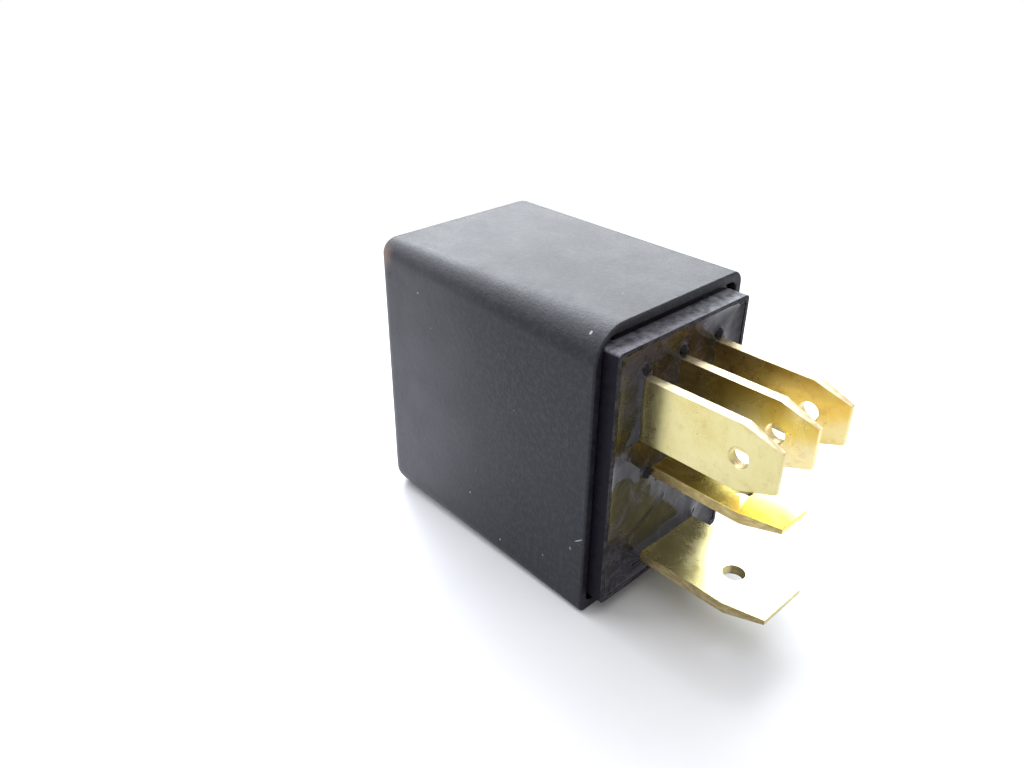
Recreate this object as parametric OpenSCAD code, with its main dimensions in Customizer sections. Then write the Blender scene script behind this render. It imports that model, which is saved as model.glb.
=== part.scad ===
// Automotive relay with five blade terminals, lying on its narrow side.
// +X runs along the relay to the blade tips, Y across its thickness, +Z up.
// Depths are measured inwards, towards -X, from the plane of the cover's open rim.
// The origin is the middle of the relay's footprint, on the surface that it lies on.

/* [Cover] */
// Height of the cover along its broad side
case_height = 23; // [22:0.1:24.5]
// Thickness of the cover between its broad faces
case_thickness = 15.6; // [15.1:0.1:16.5]
// Length of the cover from its open rim to its closed end
case_length = 23.1; // [22.2:0.1:25]
// Wall of the cover's four sides
case_wall = 0.7; // [0.6:0.05:0.9]
// Wall of the cover's closed end
end_wall = 1; // [0.8:0.05:1.3]
// Outer radius of the cover's upper long edge at +Y
edge_r = 1; // [0.9:0.1:1.8]
// Outer radius of the two lower long edges, at the open rim
lower_edge_r = 0.6; // [0.5:0.1:1.2]
// Outer radius of the same two edges at the closed end
lower_end_r = 1.8; // [1:0.1:2]
// Outer radius of the upper long edge at -Y, at the open rim
broad_edge_r = 2.7; // [1.8:0.1:3]
// Outer radius of the same edge at the closed end, where it has tapered
narrow_edge_r = 1.4; // [0.9:0.1:2]
// Radius of the cavity's long edge at -Y and the top
cavity_broad_r = 1.2; // [1.1:0.05:1.4]
// Radius of the cavity's other long edges
cavity_r = 0.6; // [0.3:0.1:1]
// Outer radius round the closed end
end_r = 1.4; // [0.8:0.1:1.6]

/* [Base] */
// How far the base stands out of the cover's rim
base_proud = 1.25; // [0.8:0.05:1.6]
// Depth of the base's inner face behind the rim
base_depth = 1.6; // [1.5:0.05:1.9]
// Thickness of the base's flange, which closes the cover
flange_t = 1; // [0.8:0.05:1.2]
// Gap above and below the base's front block
block_gap = 0.6; // [0.5:0.05:0.8]
// Wall left round the resin well
well_wall = 0.3; // [0.25:0.05:0.5]
// Depth of the resin well
well_depth = 0.8; // [0.6:0.05:0.9]
// Distance from the base's front to the resin's surface
resin_drop = 0.3; // [0.2:0.05:0.4]
// Radius of the drops that the resin leaves at the blades
drop_r = 0.46; // [0.3:0.02:0.5]
// Radius of the base's corners
base_corner_r = 0.4; // [0.3:0.1:0.6]
// Clearance between the base and the cover
base_clearance = 0.07; // [0.05:0.01:0.1]

/* [Blades] */
// Thickness of the terminal strip
strip_t = 0.8; // [0.76:0.01:0.84]
// Width of the narrow blades
narrow_w = 4.75; // [4.6:0.05:4.85]
// Width of the wide blade
wide_w = 6.3; // [6.2:0.05:6.4]
// Reach of the blades beyond the rim
blade_reach = 11.5; // [10.5:0.1:12.5]
// Length of the taper at a blade's tip
taper_length = 2.7; // [2.2:0.1:3]
// Depth of the taper on each edge
taper_depth = 0.9; // [0.6:0.05:1]
// Length of the coined bevel at the tip
coin_length = 2.4; // [1.6:0.1:2.8]
// Depth of the coined bevel on each face
coin_depth = 0.2; // [0.1:0.02:0.26]
// Distance of a narrow blade's hole from its tip
narrow_hole_back = 2.7; // [2.4:0.1:3]
// Diameter of a narrow blade's hole
narrow_hole_d = 1.4; // [1.2:0.1:1.6]
// Distance of the wide blade's hole from its tip
wide_hole_back = 4; // [3.6:0.1:4.4]
// How much less the flat middle blade reaches than the others
middle_short = 0.4; // [0:0.1:0.8]
// Distance of the flat middle blade's hole from its tip
middle_hole_back = 4; // [3.6:0.1:4.4]
// Diameter of the wide blade's hole
wide_hole_d = 1.65; // [1.5:0.05:1.8]
// Pitch of the three upright blades
blade_pitch = 4; // [3.9:0.05:4.2]
// Centre of the upright blades above the relay's middle
row_above = 5.25; // [5:0.05:5.5]
// Centre of the flat middle blade below the relay's middle
middle_below = 0.65; // [0.5:0.05:0.9]
// Centre of the wide blade below the relay's middle
wide_below = 7.7; // [7.4:0.05:7.9]
// Clearance of a blade in its slot
slot_clearance = 0.05; // [0.02:0.01:0.1]

/* [Magnet] */
// Thickness of the yoke
yoke_t = 1.2; // [1:0.05:1.4]
// Width of the yoke and the armature
yoke_w = 9; // [8:0.1:9.6]
// Gap between the yoke's leg and the cover
yoke_gap = 0.5; // [0.45:0.05:0.7]
// Radius of the core
core_r = 2; // [1.7:0.05:2.2]
// Thickness of the pole disc
pole_t = 0.6; // [0.5:0.05:0.8]
// Air gap at the pole when the relay is at rest
pole_gap = 0.35; // [0.3:0.01:0.45]
// Wall of the bobbin's tube
bobbin_wall = 0.5; // [0.4:0.05:0.6]
// Thickness of the bobbin's flanges
bobbin_flange_t = 1; // [0.8:0.05:1.2]
// Clearance between the core and the bobbin
core_clearance = 0.1; // [0.05:0.01:0.15]
// Gap between the winding and the yoke's leg
winding_gap = 1; // [0.8:0.05:1.2]
// Thickness of the armature
armature_t = 1.2; // [1:0.05:1.4]

/* [Contacts] */
// Thickness of the contact spring
spring_t = 0.2; // [0.15:0.01:0.25]
// Width of the contact spring at its hinge
spring_w = 6.4; // [6:0.1:7]
// Inside radius of the spring's bend
spring_bend_r = 0.6; // [0.5:0.05:0.7]
// Radius of the moving contact
contact_r = 1.3; // [1.1:0.05:1.4]
// Height of each contact face above its carrier
contact_t = 0.5; // [0.4:0.05:0.6]
// Gap of the open contact when the relay is at rest
contact_gap = 0.62; // [0.6:0.01:0.75]
// Offset of the contacts from the relay's middle plane
contact_y = 2; // [1.9:0.05:2.1]
// Radius of the contacts' shanks
shank_r = 0.6; // [0.5:0.05:0.7]
// Radius of the flush rivets
rivet_r = 0.7; // [0.6:0.05:0.8]

/* [Suppression] */
// Radius of the resistor's body
resistor_r = 1; // [0.8:0.05:1.1]
// Length of the resistor's body
resistor_length = 5; // [4.4:0.1:5.4]
// Radius of the resistor's leads
lead_r = 0.28; // [0.2:0.02:0.3]
// Radius of the coil's wire ends
wire_r = 0.15; // [0.1:0.01:0.2]

/* [Hidden] */
$fn = 64;
hull_fn = 32;
hull_disc_t = 0.02;
over = 1;

brass = "darkkhaki";
steel = "silver";
black_moulding = "dimgray";

// Cover and base
rim_x = (case_length - blade_reach) / 2;
mid_z = case_height / 2;
cavity_y = case_thickness / 2 - case_wall;
cavity_bottom = case_wall;
cavity_top = case_height - case_wall;
cavity_depth = case_length - end_wall;
cavity_end_least_r = 0.3;
cavity_end_r = max(end_r - end_wall, cavity_end_least_r);
cavity_radii = [cavity_r, cavity_broad_r, cavity_r, cavity_r];
open_radii = [edge_r, broad_edge_r, lower_edge_r, lower_edge_r];
closed_radii = [edge_r, narrow_edge_r, lower_end_r, lower_end_r];
base_w = 2 * (cavity_y - base_clearance);
flange_h = cavity_top - cavity_bottom - 2 * base_clearance;
block_h = cavity_top - cavity_bottom - 2 * block_gap;
well_floor = base_proud - well_depth;
resin_front = base_proud - resin_drop;
flange_front = base_depth - flange_t;
bead_depth = 0.3;
drop_lap = 0.06;

// Blades
row_z = mid_z + row_above;
middle_z = mid_z - middle_below;
wide_z = mid_z - wide_below;
narrow_hole_x = blade_reach - narrow_hole_back;
wide_hole_x = blade_reach - wide_hole_back;
middle_reach = blade_reach - middle_short;
middle_hole_x = middle_reach - middle_hole_back;

// Heights, from the top of the cavity down to the yoke's leg
arm_headroom = 0.9;
arm_w = 2.2;
arm_top = cavity_top - arm_headroom;
arm_bottom = arm_top - strip_t;
finger_headroom = 0.8;
finger_top = arm_bottom - finger_headroom;
finger_margin = 0.2;
contact_z = finger_top - contact_r - finger_margin;
bar_below = 1;
bar_above = 0.8;
bar_bottom = contact_z - bar_below;
bar_top = contact_z + bar_above;
bar_gap = 0.7;
resistor_z = bar_bottom - bar_gap - resistor_r;
tail_h = 1.5;
resistor_gap = 0.8;
winding_top = resistor_z - resistor_r - resistor_gap;
leg_bottom = cavity_bottom + yoke_gap;
leg_top = leg_bottom + yoke_t;
winding_r = (winding_top - leg_top - winding_gap) / 2;
coil_z = leg_top + winding_gap + winding_r;
pole_inset = 1.6;
pole_r = winding_r - pole_inset;
tube_r = core_r + core_clearance + bobbin_wall;
foot_margin = 2;
foot_top = coil_z + core_r + foot_margin;

// Depths, from the base inwards
foot_front = base_depth + strip_t;
foot_back = foot_front + yoke_t;
pocket_skin = 0.1;
riser_back = base_depth - pocket_skin;
riser_front = riser_back - strip_t;

// Depths, from the closed end outwards
end_clearance = 1.2;
closed_plate_back = cavity_depth - end_clearance;
closed_plate_front = closed_plate_back - strip_t;
closed_face = closed_plate_front - contact_t;
moving_button_t = 0.4;
spring_back = closed_face - moving_button_t;
spring_front = spring_back - spring_t;
armature_front = spring_front - armature_t;
pole_face = armature_front - pole_gap;
pole_back = pole_face - pole_t;
open_face = spring_front - contact_t - contact_gap;
open_plate_back = open_face - contact_t;
open_plate_front = open_plate_back - strip_t;
rivet_upset_t = 0.22;
rivet_upset_edge = 0.25;
rivet_upset_r = shank_r + rivet_upset_edge;
rivet_head_edge = 0.3;
rivet_head_r = rivet_r + rivet_head_edge;

// The bobbin's flanges, which also hold the coil terminals' tails
bobbin_margin = 0.2;
slot_wall = 0.6;
bobbin_r = winding_r + bobbin_margin;
bobbin_half = max(bobbin_r, blade_pitch + strip_t / 2 + slot_clearance + slot_wall);
bobbin_lift = 0.1;
bobbin_floor = leg_top + bobbin_lift;
ledge_wall = 0.5;
ledge_top = resistor_z + tail_h / 2 + ledge_wall;
flange_back = foot_back + bobbin_flange_t;
tail_reach = 0.8;
tail_end = flange_back + tail_reach;

// Armature, its spring and the contacts' plates
bend_margin = 0.1;
armature_bottom = leg_bottom + spring_bend_r + bend_margin;
armature_drop = 0.2;
armature_top = winding_top - armature_drop;
plate_margin = 0.1;
plate_edge = 0.1;
fixed_contact_r = contact_r + plate_margin;
plate_half = fixed_contact_r + plate_edge;
plate_bottom = contact_z - plate_half;
plate_top = contact_z + plate_half;
hinge_window = 2.8;
window_rise = 3.3;
window_reach = 1.2;
spring_end_margin = 0.9;
finger_edge = 0.2;
neck_rise = 0.6;
shoulder_drop = 1.6;
armature_rivet_y = 2.2;
leg_rivet_back = 4.3;
leg_rivet_depth = armature_front - leg_rivet_back;
leg_rivet_y = 2.2;

// The wide terminal's foot on the yoke and the middle terminal's shoulder
foot_rivet_y = 2;
foot_rivet_rise = 1.8;
foot_rivet_z = wide_z + foot_rivet_rise;
foot_tab_edge = 0.5;
foot_tab_top = foot_rivet_z + rivet_r + foot_tab_edge;
shoulder_gap = 1;
shoulder_top = row_z - narrow_w / 2 - shoulder_gap;

// Resistor, its leads and the coil's wire ends
resistor_back = 1.6;
resistor_depth = tail_end + resistor_r + resistor_back;
cap_length = 1.1;
waist = 0.12;
lead_gap = 0.2;
lead_start = flange_back + lead_gap;
lead_y = blade_pitch - strip_t / 2 - lead_r;
wire_gap = 0.3;
wire_depth = flange_back + wire_r + wire_gap;
wire_side = blade_pitch - wire_r;
wire_rise = sqrt(max(winding_r * winding_r - wire_side * wire_side, 0));

// ---- Shared shapes ----

// Moves pieces drawn from the rim plane into the relay's own frame.
module from_rim() {
  translate([rim_x, 0, 0]) children();
}

// Box between two depths, two Y values and two heights.
module slab(d0, d1, y0, y1, z0, z1) {
  translate([-d1, y0, z0]) cube([d1 - d0, y1 - y0, z1 - z0]);
}

// Round bar along X between two depths.
module bar_x(d0, d1, y, z, r) {
  translate([-d1, y, z]) rotate([0, 90, 0]) cylinder(h = d1 - d0, r = r);
}

// Round bar along Y between two Y values.
module bar_y(y0, y1, d, z, r) {
  translate([-d, y0, z]) rotate([-90, 0, 0]) cylinder(h = y1 - y0, r = r);
}

// Extrudes an outline drawn in Y and Z between two depths.
module section_x(d0, d1) {
  translate([-d1, 0, 0]) rotate([90, 0, 90]) linear_extrude(d1 - d0) children();
}

// Rectangle with round corners, centred on the origin.
module rounded_rect(w, h, r) {
  square([w - 2 * r, h], center = true);
  square([w, h - 2 * r], center = true);
  for (x = [-1, 1], y = [-1, 1])
    translate([x * (w / 2 - r), y * (h / 2 - r)]) circle(r = r);
}

// The same, with a larger radius at its upper left corner.
module cavity_rect(w, h, r, large_r) {
  difference() {
    rounded_rect(w, h, r);
    translate([-w / 2 - over, h / 2 - large_r]) square(large_r + over);
  }
  translate([large_r - w / 2, h / 2 - large_r]) circle(r = large_r);
}

// Round outer corner of a strip that is bent by a right angle about a line along Y.
// The inner corner is at depth d and height z, and the strip is t thick. The outer corner
// lies deeper in the relay and higher than the inner one, or the other way where it is -1.
module bend_y(y0, y1, d, z, t, deeper, higher) {
  intersection() {
    bar_y(y0, y1, d, z, t);
    slab(min(d, d + deeper * t), max(d, d + deeper * t), y0, y1,
      min(z, z + higher * t), max(z, z + higher * t));
  }
}

// Closed box with round long edges and a round far end, from depth d0 to depth d1.
// Both lists give the long edges' radii, one at d0 and one at d1, in this order:
// top at +Y, top at -Y, bottom at -Y, bottom at +Y.
module case_body(d0, d1, w, h, open_r, closed_r, far_r) {
  corners = [[1, 1], [-1, 1], [-1, -1], [1, -1]];
  hull()
    for (i = [0:3]) {
      y = corners[i][0];
      z = corners[i][1];
      r = closed_r[i];
      end = min(far_r, r);
      translate([-d0 - hull_disc_t, y * (w / 2 - open_r[i]), mid_z + z * (h / 2 - open_r[i])])
        rotate([0, 90, 0]) cylinder(h = hull_disc_t, r = open_r[i], $fn = hull_fn);
      translate([-d1 + end, y * (w / 2 - r), mid_z + z * (h / 2 - r)])
        rotate([0, 90, 0]) rotate_extrude($fn = hull_fn) intersection() {
          translate([r - end, 0]) circle(r = end, $fn = hull_fn);
          translate([0, -end]) square([r, 2 * end]);
        }
    }
}

// Flat blade in the XY plane, from a root depth to its tapered and coined tip.
module blade(w, hole_x, hole_d, root = base_depth, reach = blade_reach) {
  start = reach - taper_length;
  coin = reach - coin_length;
  difference() {
    intersection() {
      linear_extrude(strip_t, center = true)
        polygon([
          [-root, -w / 2], [start, -w / 2], [reach, taper_depth - w / 2],
          [reach, w / 2 - taper_depth], [start, w / 2], [-root, w / 2]
        ]);
      rotate([90, 0, 0]) linear_extrude(w + over, center = true)
        polygon([
          [-root, -strip_t / 2], [coin, -strip_t / 2], [reach, coin_depth - strip_t / 2],
          [reach, strip_t / 2 - coin_depth], [coin, strip_t / 2], [-root, strip_t / 2]
        ]);
    }
    translate([hole_x, 0, 0]) cylinder(h = strip_t + over, d = hole_d, center = true);
  }
}

module upright_blade(y) {
  translate([0, y, row_z]) rotate([90, 0, 0]) blade(narrow_w, narrow_hole_x, narrow_hole_d);
}

// The five slots that the blades pass through, between two depths.
module blade_slots(d0, d1, gap) {
  for (i = [-1:1])
    slab(d0, d1, i * blade_pitch - strip_t / 2 - gap, i * blade_pitch + strip_t / 2 + gap,
      row_z - narrow_w / 2 - gap, row_z + narrow_w / 2 + gap);
  slab(d0, d1, -narrow_w / 2 - gap, narrow_w / 2 + gap,
    middle_z - strip_t / 2 - gap, middle_z + strip_t / 2 + gap);
  slab(d0, d1, -wide_w / 2 - gap, wide_w / 2 + gap,
    wide_z - strip_t / 2 - gap, wide_z + strip_t / 2 + gap);
}

// Contact rivet along X, with its face at one depth and its upset end beyond the carrier.
module contact_rivet(face, head_back, upset, r) {
  bar_x(min(face, head_back), max(face, head_back), contact_y, contact_z, r);
  bar_x(min(head_back, upset), max(head_back, upset), contact_y, contact_z, shank_r);
  end = upset + sign(upset - head_back) * rivet_upset_t;
  bar_x(min(upset, end), max(upset, end), contact_y, contact_z, rivet_upset_r);
}

// ---- Housing ----

module cover() {
  color(black_moulding) from_rim() difference() {
    case_body(0, case_length, case_thickness, case_height, open_radii, closed_radii, end_r);
    case_body(-over, cavity_depth, 2 * cavity_y, cavity_top - cavity_bottom,
      cavity_radii, cavity_radii, cavity_end_r);
  }
}

module base() {
  color("gray") from_rim() difference() {
    union() {
      translate([0, 0, mid_z]) section_x(-base_proud, base_depth)
        rounded_rect(base_w, block_h, base_corner_r);
      translate([0, 0, mid_z]) section_x(flange_front, base_depth)
        cavity_rect(base_w, flange_h, cavity_r - base_clearance,
          cavity_broad_r - base_clearance);
    }
    translate([0, 0, mid_z]) section_x(-base_proud - over, -well_floor)
      rounded_rect(base_w - 2 * well_wall, block_h - 2 * well_wall, base_corner_r);
    blade_slots(-base_proud - over, base_depth + over, slot_clearance);
    riser_pocket(slot_clearance);
  }
}

// Round drop of resin, half sunk in the pool.
module drop(y, z) {
  intersection() {
    translate([resin_front, y, z]) sphere(r = drop_r);
    slab(-resin_front - drop_r, -well_floor, y - drop_r, y + drop_r, z - drop_r, z + drop_r);
  }
}

module epoxy_seal() {
  color("black") from_rim() {
    difference() {
      union() {
        translate([0, 0, mid_z]) section_x(-resin_front, -well_floor)
          rounded_rect(base_w - 2 * well_wall, block_h - 2 * well_wall, base_corner_r);
        for (i = [-1:1])
          drop(i * blade_pitch, row_z + narrow_w / 2 + drop_r - drop_lap);
        drop(drop_lap - narrow_w / 2 - drop_r, middle_z);
      }
      blade_slots(-resin_front - drop_r - over, over, 0);
    }
    for (side = [-1, 1])
      translate([0, 0, mid_z + side * (block_h + block_gap) / 2])
        slab(flange_front - bead_depth, flange_front,
          cavity_broad_r - base_w / 2, base_w / 2 - cavity_r, -block_gap / 2, block_gap / 2);
  }
}

// ---- Terminals ----

module terminal_30() {
  color(brass) from_rim() difference() {
    union() {
      translate([0, 0, wide_z]) blade(wide_w, wide_hole_x, wide_hole_d);
      bend_y(-wide_w / 2, wide_w / 2, base_depth, wide_z + strip_t / 2, strip_t, 1, -1);
      slab(base_depth, foot_front, -wide_w / 2, wide_w / 2, wide_z + strip_t / 2, foot_tab_top);
    }
    foot_rivet_bars();
  }
}

module coil_terminal(y) {
  color(brass) from_rim() {
    upright_blade(y);
    slab(base_depth - over, tail_end, y - strip_t / 2, y + strip_t / 2,
      resistor_z - tail_h / 2, resistor_z + tail_h / 2);
  }
}

module terminal_85() {
  coil_terminal(blade_pitch);
}

module terminal_86() {
  coil_terminal(-blade_pitch);
}

module terminal_87() {
  color(brass) from_rim() difference() {
    union() {
      upright_blade(0);
      slab(base_depth - over, open_plate_front, -strip_t / 2, strip_t / 2, bar_bottom, bar_top);
      intersection() {
        translate([-open_plate_front, strip_t / 2, bar_bottom])
          cylinder(h = bar_top - bar_bottom, r = strip_t);
        slab(open_plate_front, open_plate_back, -strip_t / 2, strip_t / 2, bar_bottom, bar_top);
      }
      slab(open_plate_front, open_plate_back, strip_t / 2, contact_y + plate_half,
        plate_bottom, plate_top);
    }
    bar_x(open_plate_front - over, open_plate_back + over, contact_y, contact_z, shank_r);
  }
}

// Room in the base for the middle terminal's riser, with a gap all round.
module riser_pocket(gap) {
  slab(riser_front - gap, base_depth + gap, -narrow_w / 2 - gap, narrow_w / 2 + gap,
    middle_z - strip_t / 2 - gap, shoulder_top + gap);
  slab(riser_front - gap, base_depth + gap, contact_y - arm_w / 2 - gap,
    contact_y + arm_w / 2 + gap, middle_z, arm_top + gap);
}

// The middle terminal: blade, riser, arm over the coil and plate of the closed contact.
module terminal_87a() {
  arm_y0 = contact_y - arm_w / 2;
  arm_y1 = contact_y + arm_w / 2;
  color(brass) from_rim() difference() {
    union() {
      translate([0, 0, middle_z])
        blade(narrow_w, middle_hole_x, narrow_hole_d, riser_front, middle_reach);
      bend_y(-narrow_w / 2, narrow_w / 2, riser_front, middle_z + strip_t / 2, strip_t, 1, -1);
      slab(riser_front, riser_back, -narrow_w / 2, narrow_w / 2,
        middle_z + strip_t / 2, shoulder_top);
      slab(riser_front, riser_back, arm_y0, arm_y1, middle_z + strip_t / 2, arm_bottom);
      bend_y(arm_y0, arm_y1, riser_back, arm_bottom, strip_t, -1, 1);
      slab(riser_back, closed_plate_front, arm_y0, arm_y1, arm_bottom, arm_top);
      bend_y(arm_y0, arm_y1, closed_plate_front, arm_bottom, strip_t, 1, 1);
      slab(closed_plate_front, closed_plate_back, arm_y0, arm_y1, plate_top, arm_bottom);
      slab(closed_plate_front, closed_plate_back, contact_y - plate_half, contact_y + plate_half,
        plate_bottom, plate_top);
    }
    bar_x(closed_plate_front - over, closed_plate_back + over, contact_y, contact_z, shank_r);
  }
}

// ---- Coil and magnet ----

module bobbin() {
  color("ivory") from_rim() difference() {
    union() {
      bar_x(foot_back, pole_back, 0, coil_z, tube_r);
      slab(foot_back, flange_back, -bobbin_half, bobbin_half, bobbin_floor, ledge_top);
      slab(pole_back - bobbin_flange_t, pole_back, -bobbin_half, bobbin_half,
        bobbin_floor, coil_z + bobbin_r);
    }
    bar_x(foot_back - over, pole_back + over, 0, coil_z, core_r + core_clearance);
    for (side = [-1, 1])
      slab(foot_back - over, flange_back + over,
        side * blade_pitch - strip_t / 2 - slot_clearance,
        side * blade_pitch + strip_t / 2 + slot_clearance,
        resistor_z - tail_h / 2 - slot_clearance, resistor_z + tail_h / 2 + slot_clearance);
  }
}

module coil_winding() {
  color("sienna") from_rim() difference() {
    bar_x(flange_back, pole_back - bobbin_flange_t, 0, coil_z, winding_r);
    bar_x(foot_back, pole_back, 0, coil_z, tube_r);
  }
}

module coil_leads() {
  color("chocolate") from_rim()
    for (side = [-1, 1])
      translate([-wire_depth, side * blade_pitch, coil_z + wire_rise])
        cylinder(h = resistor_z - tail_h / 2 - coil_z - wire_rise, r = wire_r);
}

module core() {
  color(steel) from_rim() {
    bar_x(foot_front, pole_face, 0, coil_z, core_r);
    bar_x(pole_back, pole_face, 0, coil_z, pole_r);
  }
}

module yoke() {
  color("lightgray") from_rim() difference() {
    union() {
      slab(foot_front, foot_back, -yoke_w / 2, yoke_w / 2, leg_top, foot_top);
      slab(foot_back, armature_front, -yoke_w / 2, yoke_w / 2, leg_bottom, leg_top);
      bend_y(-yoke_w / 2, yoke_w / 2, foot_back, leg_top, yoke_t, -1, -1);
    }
    bar_x(foot_front - over, foot_back + over, 0, coil_z, core_r);
    foot_rivet_bars();
    leg_rivet_bars(leg_bottom - over, leg_top + over, rivet_r);
  }
}

// The bars that join the wide terminal's foot to the yoke.
module foot_rivet_bars() {
  for (side = [-1, 1])
    bar_x(base_depth, foot_back, side * foot_rivet_y, foot_rivet_z, rivet_r);
}

// Upright bars at the two places where the spring is riveted to the yoke's leg.
module leg_rivet_bars(z0, z1, r) {
  for (side = [-1, 1])
    translate([-leg_rivet_depth, side * leg_rivet_y, z0]) cylinder(h = z1 - z0, r = r);
}

// Bars along X at the two places where the spring is riveted to the armature.
module armature_rivet_bars(d0, d1, r) {
  for (side = [-1, 1])
    bar_x(d0, d1, side * armature_rivet_y, coil_z, r);
}

module yoke_rivets() {
  color("darkgray") from_rim() {
    leg_rivet_bars(leg_bottom - spring_t, leg_top, rivet_r);
    leg_rivet_bars(leg_bottom - spring_t - rivet_upset_t, leg_bottom - spring_t, rivet_head_r);
  }
}

module terminal_rivets() {
  color("darkgray") from_rim() foot_rivet_bars();
}

// ---- Armature, spring and contacts ----

module armature() {
  color("silver") from_rim() difference() {
    slab(armature_front, spring_front, -yoke_w / 2, yoke_w / 2, armature_bottom, armature_top);
    armature_rivet_bars(armature_front - over, spring_front + over, rivet_r);
  }
}

module armature_rivets() {
  color("darkgray") from_rim() {
    armature_rivet_bars(armature_front, spring_back, rivet_r);
    armature_rivet_bars(spring_back, spring_back + rivet_upset_t, rivet_head_r);
  }
}

module contact_spring() {
  leg_start = leg_rivet_depth - rivet_r - spring_end_margin;
  bend_depth = spring_front - spring_bend_r;
  bend_z = leg_bottom + spring_bend_r;
  finger_half = contact_r + finger_edge;
  neck_z = armature_top + neck_rise;
  shoulder_z = armature_top - shoulder_drop;
  color("goldenrod") from_rim() difference() {
    union() {
      slab(leg_start, bend_depth, -spring_w / 2, spring_w / 2, leg_bottom - spring_t, leg_bottom);
      intersection() {
        difference() {
          bar_y(-spring_w / 2, spring_w / 2, bend_depth, bend_z, spring_bend_r + spring_t);
          bar_y(-spring_w, spring_w, bend_depth, bend_z, spring_bend_r);
        }
        slab(bend_depth, spring_back + over, -spring_w, spring_w, 0, bend_z);
      }
      section_x(spring_front, spring_back)
        polygon([
          [-spring_w / 2, bend_z], [spring_w / 2, bend_z], [spring_w / 2, shoulder_z],
          [contact_y + finger_half, neck_z], [contact_y + finger_half, finger_top],
          [contact_y - finger_half, finger_top], [contact_y - finger_half, neck_z],
          [-spring_w / 2, shoulder_z]
        ]);
    }
    slab(armature_front - window_reach, spring_back + over, -hinge_window / 2, hinge_window / 2,
      0, leg_bottom + window_rise);
    leg_rivet_bars(0, leg_top, rivet_r);
    armature_rivet_bars(spring_front - over, spring_back + over, rivet_r);
    bar_x(spring_front - over, spring_back + over, contact_y, contact_z, shank_r);
  }
}

module moving_contact() {
  color("gainsboro") from_rim() {
    bar_x(spring_front - contact_t, spring_front, contact_y, contact_z, contact_r);
    bar_x(spring_front, spring_back, contact_y, contact_z, shank_r);
    bar_x(spring_back, closed_face, contact_y, contact_z, contact_r);
  }
}

module normally_open_contact() {
  color("gainsboro") from_rim()
    contact_rivet(open_face, open_plate_back, open_plate_front, fixed_contact_r);
}

module normally_closed_contact() {
  color("gainsboro") from_rim()
    contact_rivet(closed_face, closed_plate_front, closed_plate_back, fixed_contact_r);
}

// ---- Suppression ----

module suppression_resistor() {
  color("tan") from_rim() {
    bar_y(-resistor_length / 2, resistor_length / 2, resistor_depth, resistor_z,
      resistor_r - waist);
    for (side = [-1, 1])
      translate([0, side * (resistor_length - cap_length) / 2, 0])
        bar_y(-cap_length / 2, cap_length / 2, resistor_depth, resistor_z, resistor_r);
  }
}

module resistor_leads() {
  color("lightgray") from_rim()
    for (side = [-1, 1]) {
      bar_y(min(side * resistor_length / 2, side * lead_y),
        max(side * resistor_length / 2, side * lead_y), resistor_depth, resistor_z, lead_r);
      translate([-resistor_depth, side * lead_y, resistor_z]) sphere(r = lead_r);
      bar_x(lead_start, resistor_depth, side * lead_y, resistor_z, lead_r);
    }
}

cover();
base();
epoxy_seal();
terminal_30();
terminal_85();
terminal_86();
terminal_87();
terminal_87a();
bobbin();
coil_winding();
coil_leads();
core();
yoke();
yoke_rivets();
terminal_rivets();
armature();
armature_rivets();
contact_spring();
moving_contact();
normally_open_contact();
normally_closed_contact();
suppression_resistor();
resistor_leads();
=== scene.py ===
"""Automotive relay lying on its narrow side: looks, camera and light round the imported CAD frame."""
import math

import bmesh
import bpy
from mathutils import Matrix, Vector, noise


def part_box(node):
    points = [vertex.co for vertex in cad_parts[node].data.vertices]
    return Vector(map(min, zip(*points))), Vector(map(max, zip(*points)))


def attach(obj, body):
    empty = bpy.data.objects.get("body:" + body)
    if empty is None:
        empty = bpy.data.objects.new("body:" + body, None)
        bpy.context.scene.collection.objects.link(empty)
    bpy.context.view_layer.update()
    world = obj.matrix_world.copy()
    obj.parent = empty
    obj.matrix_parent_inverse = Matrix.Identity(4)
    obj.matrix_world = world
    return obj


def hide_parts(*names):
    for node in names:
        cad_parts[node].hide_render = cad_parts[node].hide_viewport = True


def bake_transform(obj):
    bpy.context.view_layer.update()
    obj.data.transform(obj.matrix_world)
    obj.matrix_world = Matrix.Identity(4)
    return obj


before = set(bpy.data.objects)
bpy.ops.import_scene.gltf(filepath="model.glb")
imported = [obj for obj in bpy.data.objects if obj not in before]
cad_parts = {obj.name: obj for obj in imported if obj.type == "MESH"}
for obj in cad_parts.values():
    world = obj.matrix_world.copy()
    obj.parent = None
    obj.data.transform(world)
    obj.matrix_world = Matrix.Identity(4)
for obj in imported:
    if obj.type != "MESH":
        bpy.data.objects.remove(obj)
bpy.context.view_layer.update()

MM = 0.001

# ---- Sizes from the frame ----

cover_lo, cover_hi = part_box("cover")
base_lo, base_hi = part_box("base")
RIM_X = cover_hi.x
CASE_HEIGHT = cover_hi.z - cover_lo.z
WALL = 0.7 * MM
END_WALL = 1.0 * MM
NEAR_TOP_R = 2.7 * MM
NEAR_TOP_END_R = 1.4 * MM
EDGE_R = 1.0 * MM
LOWER_R = 0.6 * MM
LOWER_END_R = 1.8 * MM
CAVITY_R = 0.6 * MM
CAVITY_NEAR_R = 1.2 * MM
END_R = 1.4 * MM
LIP_R = 0.16 * MM
WELL_WALL = 0.3 * MM
WELL_DEPTH = 0.8 * MM
RESIN_DROP = 0.3 * MM
DROP_R = 0.46 * MM
DROP_LAP = 0.06 * MM
CLIMB = 0.24 * MM
WALL_CLIMB_REACH = 0.42 * MM
BLADE_CLIMB_REACH = 0.5 * MM
DROP_CLIMB = 0.12 * MM
DROP_CLIMB_REACH = 0.12 * MM
CORNER_REACH = 1.3 * MM
CREASE = 0.07 * MM
CREASE_REACH = 0.2 * MM
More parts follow.
